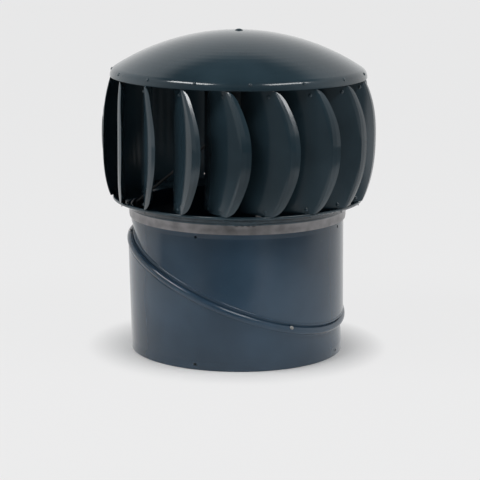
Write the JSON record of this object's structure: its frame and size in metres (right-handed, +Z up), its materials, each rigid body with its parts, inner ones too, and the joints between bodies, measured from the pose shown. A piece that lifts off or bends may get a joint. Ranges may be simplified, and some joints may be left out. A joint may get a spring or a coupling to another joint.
{
  "type": "roof turbine ventilator",
  "caption": "Wind-driven roof turbine ventilator: a domed rotor of curved vanes spins on a fixed shaft above a two-piece throat with a slanted swivel seam for roof pitch.",
  "frame": {"origin": "centre of the throat's open duct end, on the surface that it stands on", "axes": "+Z up along the throat and the rotor's spin axis; -Y is the front; the swivel seam runs down towards +X and a little to the front"},
  "size_m": [0.385, 0.3848, 0.4522],
  "materials": {
    "painted_steel": "gloss slate blue-grey powder coat on sheet steel",
    "galvanised_steel": "galvanised strap, dull spangle",
    "bearing_steel": "ground bearing steel, lightly oiled",
    "cast_aluminium": "turned aluminium, fine lathe marks",
    "zinc_plated_steel": "bright zinc plate"
  },
  "bodies": {
    "lower_throat_body": {"lower_throat": "painted_steel", "seam_lock_screws": "zinc_plated_steel"},
    "upper_throat_body": {"upper_throat": "painted_steel", "spider_arm_1": "galvanised_steel", "spider_arm_2": "galvanised_steel", "spider_arm_3": "galvanised_steel", "spider_hub": "galvanised_steel", "spider_rivets": "galvanised_steel", "rotor_shaft": "zinc_plated_steel", "shaft_nut": "zinc_plated_steel", "shaft_washer": "zinc_plated_steel", "lower_bearing_inner_race": "bearing_steel", "upper_bearing_inner_race": "bearing_steel", "bearing_spacer": "bearing_steel", "shaft_circlip": "zinc_plated_steel"},
    "rotor": {"apex_bolt": "painted_steel", "base_ring": "painted_steel", "bearing_housing": "cast_aluminium", "dome": "painted_steel", "dome_rivets": "painted_steel", "housing_circlip": "zinc_plated_steel", "lower_bearing_balls": "bearing_steel", "lower_bearing_cage": "bearing_steel", "lower_bearing_outer_race": "bearing_steel", "rotor_arm_1": "galvanised_steel", "rotor_arm_2": "galvanised_steel", "rotor_arm_3": "galvanised_steel", "rotor_arm_rivets": "galvanised_steel", "top_ring": "painted_steel", "upper_bearing_balls": "bearing_steel", "upper_bearing_cage": "bearing_steel", "upper_bearing_outer_race": "bearing_steel", "vane_01": "painted_steel", "vane_02": "painted_steel", "vane_03": "painted_steel", "vane_04": "painted_steel", "vane_05": "painted_steel", "vane_06": "painted_steel", "vane_07": "painted_steel", "vane_08": "painted_steel", "vane_09": "painted_steel", "vane_10": "painted_steel", "vane_11": "painted_steel", "vane_12": "painted_steel", "vane_13": "painted_steel", "vane_14": "painted_steel", "vane_15": "painted_steel", "vane_16": "painted_steel", "vane_17": "painted_steel", "vane_18": "painted_steel", "vane_foot_rivets": "painted_steel", "vane_top_rivets": "painted_steel"}
  },
  "joints": [
    {"name": "pitch_swivel", "type": "hinge", "parent": "lower_throat_body", "child": "upper_throat_body", "pos_m": [0, 0, 0.105], "axis": [0.3548, -0.1434, 0.9239], "range_deg": [0, 180]},
    {"name": "rotor_spin", "type": "hinge", "parent": "upper_throat_body", "child": "rotor", "pos_m": [0, 0, 0.3], "axis": [0, 0, 1], "continuous": true}
  ]
}
